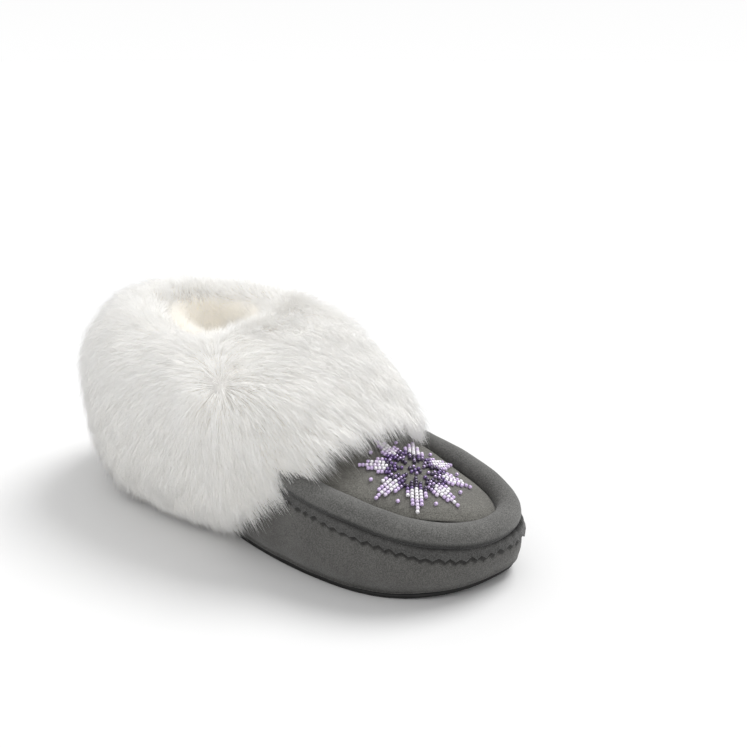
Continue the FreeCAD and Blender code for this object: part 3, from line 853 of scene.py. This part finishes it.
def make_beads():
    rng = np.random.default_rng(21)
    for index in range(PETALS):
        angle = 2 * math.pi * index / PETALS
        axis = (math.sin(angle), -math.cos(angle))
        side = (math.cos(angle), math.sin(angle))
        light, dark = [], []
        for row, dark_start, light_start, end in PETAL_ROWS:
            reach = dark_start * ROSETTE_RADIUS
            while reach <= end * ROSETTE_RADIUS:
                across = axis[0] * reach + side[0] * row * ROW_PITCH
                along_foot = axis[1] * reach + side[1] * row * ROW_PITCH
                if reach >= light_start * ROSETTE_RADIUS:
                    edge = abs(row) == 2 or reach > (end - 0.09) * ROSETTE_RADIUS
                    tone = 1 if edge and rng.random() < 0.75 else int(rng.random() < 0.3) * 2
                    light.append((across, along_foot, axis, tone))
                else:
                    dark.append((across, along_foot, axis, int(rng.integers(0, 3))))
                reach += BEAD_PITCH
        number = index + 1
        bead_group("petal_%d_light" % number, light, LIGHT_BEADS, "bead_light",
                   "petal_%d_light_beads" % number, rng)
        bead_group("petal_%d_dark" % number, dark, DARK_BEADS, "bead_dark",
                   "petal_%d_dark_beads" % number, rng)
    centre = [(0, 0, (1, 0), 0)]
    for step in range(6):
        angle = 2 * math.pi * step / 6
        across, along_foot = math.cos(angle), math.sin(angle)
        centre.append((CENTRE_RING * across, CENTRE_RING * along_foot,
                       (-along_foot, across), step % len(DARK_BEADS)))
    bead_group("centre_cluster", centre, DARK_BEADS, "bead_dark", "centre_beads", rng)
    dots = []
    for index in range(PETALS):
        angle = 2 * math.pi * (index + 0.5) / PETALS
        reach = DOT_REACH * ROSETTE_RADIUS
        dots.append((reach * math.sin(angle), -reach * math.cos(angle), (1, 0), 1))
    bead_group("dot_beads_glass", dots, LIGHT_BEADS, "bead_light", "dot_beads", rng)


# ======== fur
# Plan rings of the fur's outer surface: height, centre station, half width, length
# ahead of the centre and length behind it.  Its front is a line of (station, z).
FUR_RINGS = [(11, 205, 61, 98, 70), (28, 208, 66, 128, 78), (46, 212, 67, 144, 79),
             (64, 213, 67, 150, 77), (84, 213, 65, 131, 72), (100, 211, 59, 106, 66),
             (111, 209, 48, 74, 57), (116, 207, 40, 52, 50)]
FRONT_SQUARENESS = 2.8
FUR_FRONT = [(64, 82), (76, 65), (85, 57), (96, 42), (103, 30), (113, 21), (130, 12)]
FRONT_SKEW = 7.0                # the front reaches further on the inner side
FUR_TOP_Z = 116.0
FUR_LOW_Z = 6.5
HOLE_CENTRE = (5.0, 204.0)      # the mouth between the hair tips
HOLE_WIDE = 8.0
HOLE_LONG = 14.0
HOLE_ROWS = [(0.0, 74.0), (0.0, 82.0), (0.04, 90.0), (0.14, 99.0), (0.34, 107.0),
             (0.62, 113.0), (0.86, 115.6)]   # share of the way to the rim, height
RIM_DIP = 10.0                  # the rim sags on the outer front side
RIM_DIP_ANGLE = math.radians(-55)
RIM_DIP_SPREAD = math.radians(60)
FUR_DEPTH = 6.0                 # the undercoat lies this far under the hair tips
EDGE_BARE = 7.0                 # and stops this far short of the fur's edge
WHORL_HEIGHT = 84.0             # where the hair parts on each shoulder
WHORL_STATION = 136.0
WHORL_SIDE = 46.0
SKIRT_ROWS = 44
FUR_COLUMNS = 260
UNDERCOAT_THICK = 4.0
HAIR_COUNT = 150000
HAIR_LENGTH = (14, 22)
HAIR_THICKNESS = (0.16, 0.28)
LOCK_HAIRS = 18000              # at most in one piece
MOUTH_HAIR_COUNT = 17000        # at most, fewer take root
MOUTH_HAIR_LENGTH = (8, 14)
HAIR_POINTS = 7                 # two rings of three and a tip

ring_curve = curve_of(FUR_RINGS)


def fur_ring(angle, z):
    """Plan points of the fur's envelope; angle runs from the toe side by +X."""
    centre, half, ahead, behind = ring_curve(z).T
    toeward, sideward = np.cos(angle), np.sin(angle)
    power = np.where(toeward > 0, 2 / FRONT_SQUARENESS, 1.0)
    x = half * np.sign(sideward) * np.abs(sideward) ** power
    reach = np.where(toeward > 0, ahead, behind) * np.sign(toeward) * np.abs(toeward) ** power
    return np.column_stack([x, centre - reach])


def edge_height(angle):
    """How far down the envelope reaches at one angle, by the slanting front line."""
    z = np.arange(FUR_TOP_Z, FUR_LOW_Z - 0.5, -0.5)
    plan = fur_ring(np.full(len(z), angle), z)
    station = plan[:, 1] + FRONT_SKEW * smoothstep(0, 25, plan[:, 0])
    line_stations, line_heights = zip(*FUR_FRONT)
    cut = np.interp(station, line_stations, line_heights, left=line_heights[0], right=0)
    below = np.nonzero(z < cut)[0]
    return z[below[0]] if len(below) else z[-1]


def softened(values, reach):
    """A closed row of numbers, smoothed over so many neighbours."""
    offsets = np.arange(-3 * reach, 3 * reach + 1)
    weights = np.exp(-(offsets / reach) ** 2)
    shifted = [np.roll(values, offset) * weight for offset, weight in zip(offsets, weights)]
    return np.sum(shifted, 0) / weights.sum()


def skirt_line(angle, low):
    """One line of the envelope from the rim down to the fur's edge, evenly spaced."""
    z = np.linspace(FUR_TOP_Z, low, 120)
    line = np.column_stack([fur_ring(np.full(len(z), angle), z), z])
    run = run_along(line)
    evenly = np.linspace(0, run[-1], SKIRT_ROWS)
    return np.column_stack([np.interp(evenly, run, line[:, k]) for k in range(3)]), run[-1]


def fur_envelope():
    """Grid of the fur's outer surface: rows from inside the mouth to the edge."""
    angles = np.linspace(0, 2 * math.pi, FUR_COLUMNS, endpoint=False)
    lows = softened(np.array([edge_height(angle) for angle in angles]), 5)
    skirts, lengths = zip(*[skirt_line(angle, low) for angle, low in zip(angles, lows)])
    skirt = np.stack(skirts, 1)
    hole = np.column_stack([HOLE_CENTRE[0] + HOLE_WIDE * np.sin(angles),
                            HOLE_CENTRE[1] - HOLE_LONG * np.cos(angles)])
    rim = fur_ring(angles, np.full(FUR_COLUMNS, FUR_TOP_Z))
    rows = [np.column_stack([hole + (rim - hole) * share, np.full(FUR_COLUMNS, z)])
            for share, z in HOLE_ROWS]
    grid = np.concatenate([np.stack(rows), skirt])
    off = np.angle(np.exp(1j * (angles - RIM_DIP_ANGLE)))
    dip = RIM_DIP * np.exp(-(off / RIM_DIP_SPREAD) ** 2)
    grid[:, :, 2] -= dip * smoothstep(78, FUR_TOP_Z, grid[:, :, 2])
    for _ in range(6):
        around = (np.roll(grid, 1, 1) + np.roll(grid, -1, 1)) / 2
        grid = grid * 0.5 + around * 0.5
        grid[1:-1] = grid[1:-1] * 0.5 + (grid[:-2] + grid[2:]) * 0.25
    return grid, np.array(lengths)


def grid_normals(grid):
    along = np.gradient(grid, axis=0)
    around = np.roll(grid, -1, 1) - np.roll(grid, 1, 1)
    return unit(np.cross(along, around))


def fur_base():
    """The undercoat's grid with its outward normals, and how far each row is from the edge."""
    envelope, lengths = fur_envelope()
    normals = grid_normals(envelope)
    inside = len(HOLE_ROWS)
    to_edge = np.zeros(envelope.shape[:2])
    share = np.linspace(1, 0, SKIRT_ROWS)
    to_edge[inside:] = share[:, None] * lengths
    to_edge[:inside] = lengths + np.arange(inside, 0, -1)[:, None] * 8
    return envelope - normals * FUR_DEPTH, normals, to_edge


def fur_mass(base, normals, to_edge):
    """The dense base of the fur, as a thick sheet over the whole cuff."""
    grid = base.copy()
    flat = grid.reshape(-1, 3)
    flat += normals.reshape(-1, 3) * (0.7 * lumps(flat, 11, 31))[:, None]
    inside = len(HOLE_ROWS)
    for column in range(FUR_COLUMNS):
        line = grid[inside:, column]
        reach = to_edge[inside, column] - to_edge[inside:, column]
        kept = np.linspace(0, reach[-1] - EDGE_BARE, SKIRT_ROWS)
        moved = [np.interp(kept, reach, line[:, k]) for k in range(3)]
        grid[inside:, column] = np.column_stack(moved)
    faces = grid_faces(grid.shape[0], FUR_COLUMNS, wrap_columns=True)
    piece = new_mesh("fur_undercoat", grid.reshape(-1, 3), faces, [UNDERCOAT])
    adopt(thickened(piece, UNDERCOAT_THICK, (0, 200, 60)), "fur", "fur_cuff")


def grid_samples(base, normals, to_edge, count, rng):
    """Places spread evenly over the undercoat, with normals and distances to the edge."""
    columns = base.shape[1]
    after = np.roll(base, -1, 1)
    area = np.linalg.norm(np.cross(base[1:] - base[:-1], after[:-1] - base[:-1]), axis=2)
    chosen = rng.choice(area.size, count, p=(area / area.sum()).ravel())
    row, column = np.divmod(chosen, columns)
    following = (column + 1) % columns
    u, v = rng.random((2, count))

    def mix(values):
        u_, v_ = (u, v) if values.ndim == 2 else (u[:, None], v[:, None])
        top = values[row, column] * (1 - u_) + values[row, following] * u_
        low = values[row + 1, column] * (1 - u_) + values[row + 1, following] * u_
        return top * (1 - v_) + low * v_
    return mix(base), unit(mix(normals)), mix(to_edge), row + v


def tufted(points, seed, size, reach):
    """Small shifts that neighbours share, to gather hairs into soft tufts."""
    return np.stack([lumps(points, size, seed + k) for k in range(3)], 1) * reach


def comb(points, normals):
    """Which way the hair lies: out from the parting on each shoulder, then down."""
    side = np.where(points[:, 0] < 0, -1.0, 1.0)
    whorl = np.column_stack([side * WHORL_SIDE, np.full(len(points), WHORL_STATION),
                             np.full(len(points), WHORL_HEIGHT)])
    away = points - whorl
    distance = np.linalg.norm(away, axis=1)
    pull = 1.5 * np.exp(-(distance / 70) ** 2) * smoothstep(4, 30, np.abs(points[:, 0])) + 0.15
    out = points - [HOLE_CENTRE[0], HOLE_CENTRE[1], 0]
    out[:, 2] = 0
    pull *= 1 - 0.6 * smoothstep(0, 20, points[:, 0])
    field = unit(away) * pull[:, None] + unit(out) * 0.55 + np.array([0, 0, -0.75])
    near_mouth = np.hypot(out[:, 0] / 26, out[:, 1] / 34)
    inwards = 1.5 * (1 - smoothstep(0.35, 1.25, near_mouth))
    field -= unit(out) * inwards[:, None]
    instep = smoothstep(-185, -120, -points[:, 1]) * smoothstep(-56, -12, -np.abs(points[:, 0]))
    field[:, 1] -= 1.4 * instep
    field += tufted(points, 60, 42, 0.16)
    lying = field - normals * (field * normals).sum(1, keepdims=True)
    return lying / np.maximum(np.linalg.norm(lying, axis=1, keepdims=True), 0.8)


def strand_mesh(name, root, middle, tip, thickness, slots, materials):
    """Three-sided tapering hairs, bent once, each a closed form."""
    count = len(root)
    elbow = root * 0.25 + middle * 0.5 + tip * 0.25
    ahead = unit(tip - root)
    side = unit(np.cross(ahead, np.array([0.31, 0.17, 0.93])))
    other = np.cross(ahead, side)
    rings = []
    for centre, width in ((root, 1.0), (elbow, 0.8)):
        for corner in range(3):
            angle = 2 * math.pi * corner / 3
            arm = side * math.cos(angle) + other * math.sin(angle)
            rings.append(centre + arm * (thickness * width / 2)[:, None])
    rings.append(tip)
    points = np.stack(rings, 1).reshape(-1, 3)
    quads = [(k, (k + 1) % 3, 3 + (k + 1) % 3, 3 + k) for k in range(3)]
    triangles = [(3 + k, 3 + (k + 1) % 3, 6) for k in range(3)] + [(2, 1, 0)]
    offset = np.arange(count)[:, None, None] * HAIR_POINTS
    loops = np.concatenate([(np.array(quads)[None] + offset).ravel(),
                            (np.array(triangles)[None] + offset).ravel()]).astype(np.int32)
    mesh = bpy.data.meshes.new(name)
    mesh.vertices.add(len(points))
    mesh.vertices.foreach_set("co", to_world(points).ravel())
    mesh.loops.add(len(loops))
    mesh.loops.foreach_set("vertex_index", loops)
    mesh.polygons.add(count * 7)
    starts = np.concatenate([np.arange(count * 3) * 4, count * 12 + np.arange(count * 4) * 3])
    mesh.polygons.foreach_set("loop_start", starts.astype(np.int32))
    mesh.update(calc_edges=True)
    for material in materials:
        mesh.materials.append(material)
    face_slots = np.concatenate([np.repeat(slots, 3), np.repeat(slots, 4)]).astype(np.int32)
    mesh.polygons.foreach_set("material_index", face_slots)
    smooth_shaded(mesh)
    mesh.validate()
    adopt(linked(name, mesh), "fur")


def keep_off_shoe(points):
    """Lift points that would sink into the plug, or touch the ground."""
    floor = plug_z(np.clip(points[:, 0], -36, 36), np.clip(points[:, 1], -10, 170)) + 0.8
    low = (np.abs(points[:, 0]) < 42) & (points[:, 2] < floor) & (points[:, 1] < 130)
    points[low, 2] = floor[low]
    points[:, 2] = np.maximum(points[:, 2], 0.8)
    return points


def outer_coat(base, normals, to_edge):
    """The long white hairs, shorter at the rim, standing up where the comb is unsure."""
    rng = np.random.default_rng(7)
    count = HAIR_COUNT
    root, normal, margin, row = grid_samples(base, normals, to_edge, int(count * 1.25), rng)
    length = rng.uniform(*HAIR_LENGTH, len(root))
    keep = (margin > length * 0.5 - 3) & (row > 1.6)
    root, normal, row, length = [part[keep][:count] for part in (root, normal, row, length)]
    total = len(root)
    rim = 1 - smoothstep(5.5, 13, row)
    length = length * (1 - 0.35 * rim)
    heading = comb(root, normal) + rng.normal(0, 0.09, (total, 3))
    upright = 1 - np.clip(np.linalg.norm(heading, axis=1), 0, 1)
    lift = rng.uniform(0.22, 0.42, total) + 0.15 * rim + 0.4 * upright
    rise = length * lift
    fall = length ** 2 / 150
    root = root - normal * 1.5
    middle = root + heading * (length * 0.42)[:, None] + normal * (rise * 0.85)[:, None]
    tip = root + heading * (length * 0.92)[:, None] + normal * (rise - fall)[:, None]
    tip[:, 2] -= length * 0.08
    tip += tufted(root, 80, 9, 1.1) + tufted(root, 90, 26, 1.4)
    middle = keep_off_shoe(middle + tufted(root, 80, 9, 0.4))
    tip = keep_off_shoe(tip)
    thickness = rng.uniform(*HAIR_THICKNESS, total)
    slots = rng.choice(len(HAIRS), total, p=HAIR_SHARES)
    angle = np.arctan2(root[:, 0] - HOLE_CENTRE[0], root[:, 1] - HOLE_CENTRE[1])
    order = np.argsort(angle)
    for number, part in enumerate(np.array_split(order, math.ceil(total / LOCK_HAIRS))):
        strand_mesh("fur_lock_%02d" % (number + 1), root[part], middle[part], tip[part],
                    thickness[part], slots[part], HAIRS)


def mouth_coat(base, normals, to_edge):
    """Creamy hair that lines the mouth and leans up and inwards."""
    rng = np.random.default_rng(17)
    count = MOUTH_HAIR_COUNT
    root, normal, _, row = grid_samples(base, normals, to_edge, count * 9, rng)
    keep = row < 3.6
    root, normal = root[keep][:count], normal[keep][:count]
    total = len(root)
    length = rng.uniform(*MOUTH_HAIR_LENGTH, total)
    heading = unit(np.array([0, 0, 0.7]) + normal * 0.75 + rng.normal(0, 0.22, (total, 3))
                   + tufted(root, 120, 12, 0.25))
    root = root - normal * 1.2
    middle = root + heading * (length * 0.5)[:, None]
    tip = middle + unit(heading + normal * 0.2 + np.array([0, 0, -0.15])) * (length * 0.5)[:, None]
    slots = rng.integers(0, len(CREAMS), total)
    thickness = rng.uniform(*HAIR_THICKNESS, total)
    strand_mesh("mouth_hair", root, middle, tip, thickness, slots, CREAMS)


def make_fur():
    base, normals, to_edge = fur_base()
    fur_mass(base, normals, to_edge)
    outer_coat(base, normals, to_edge)
    mouth_coat(base, normals, to_edge)


# ======== stage and light
FLOOR_SIZE = 30.0               # metres from the middle to a side
FLOOR_GREY = 0.78
LAMP_ENERGY = 2.0
LAMP_ANGLE = math.radians(30)
LAMP_TURN = (math.radians(4), math.radians(32), 0)
SKY = [(0.0, 1.0), (0.14, 0.95), (0.35, 0.64), (1.0, 0.96)]     # height, brightness


def make_stage():
    mesh = bpy.data.meshes.new("floor")
    corners = [(x * FLOOR_SIZE, y * FLOOR_SIZE, 0) for x, y in ((-1, -1), (1, -1), (1, 1), (-1, 1))]
    mesh.from_pydata(corners, [], [(0, 1, 2, 3)])
    floor = linked("floor", mesh)
    material, _, _ = shader("floor_white", (FLOOR_GREY,) * 3, 0.8, Specular_IOR_Level=0.0)
    mesh.materials.append(material)


def make_light():
    """A soft studio dome, dimmer half way up, and one broad lamp high on the inner side."""
    world = bpy.data.worlds.new("studio")
    world.use_nodes = True
    tree = world.node_tree
    background = tree.nodes["Background"]
    place = tree.nodes.new("ShaderNodeTexCoord").outputs["Generated"]
    split = tree.nodes.new("ShaderNodeSeparateXYZ")
    tree.links.new(place, split.inputs["Vector"])
    glow = ramp(tree, split.outputs["Z"], [(height, (grey,) * 3) for height, grey in SKY])
    tree.links.new(glow, background.inputs["Color"])
    background.inputs["Strength"].default_value = 1.0
    bpy.context.scene.world = world
    lamp = bpy.data.lights.new("key", "SUN")
    lamp.energy = LAMP_ENERGY
    lamp.angle = LAMP_ANGLE
    linked("key", lamp).rotation_euler = LAMP_TURN
    bpy.context.scene.view_settings.view_transform = "Standard"
    bpy.context.scene.cycles.max_bounces = 16
    bpy.context.scene.cycles.diffuse_bounces = 12


def make_camera():
    lens = bpy.data.cameras.new("camera")
    lens.lens = CAMERA_LENS
    lens.clip_start = 0.01
    camera = linked("camera", lens)
    x, from_toe, z = CAMERA_PLACE
    camera.location = (x * MM, (from_toe + TOE_Y) * MM, z * MM)
    camera.rotation_euler = (math.radians(90 - CAMERA_ELEVATION), 0, math.radians(CAMERA_AZIMUTH))
    bpy.context.scene.camera = camera


make_camera()
make_light()
make_stage()
finish_cad_nodes()
make_walls()
make_roll()
make_lip()
make_plug()
make_plug_stitches()
make_sole_rim()
make_linings()
make_beads()
make_fur()
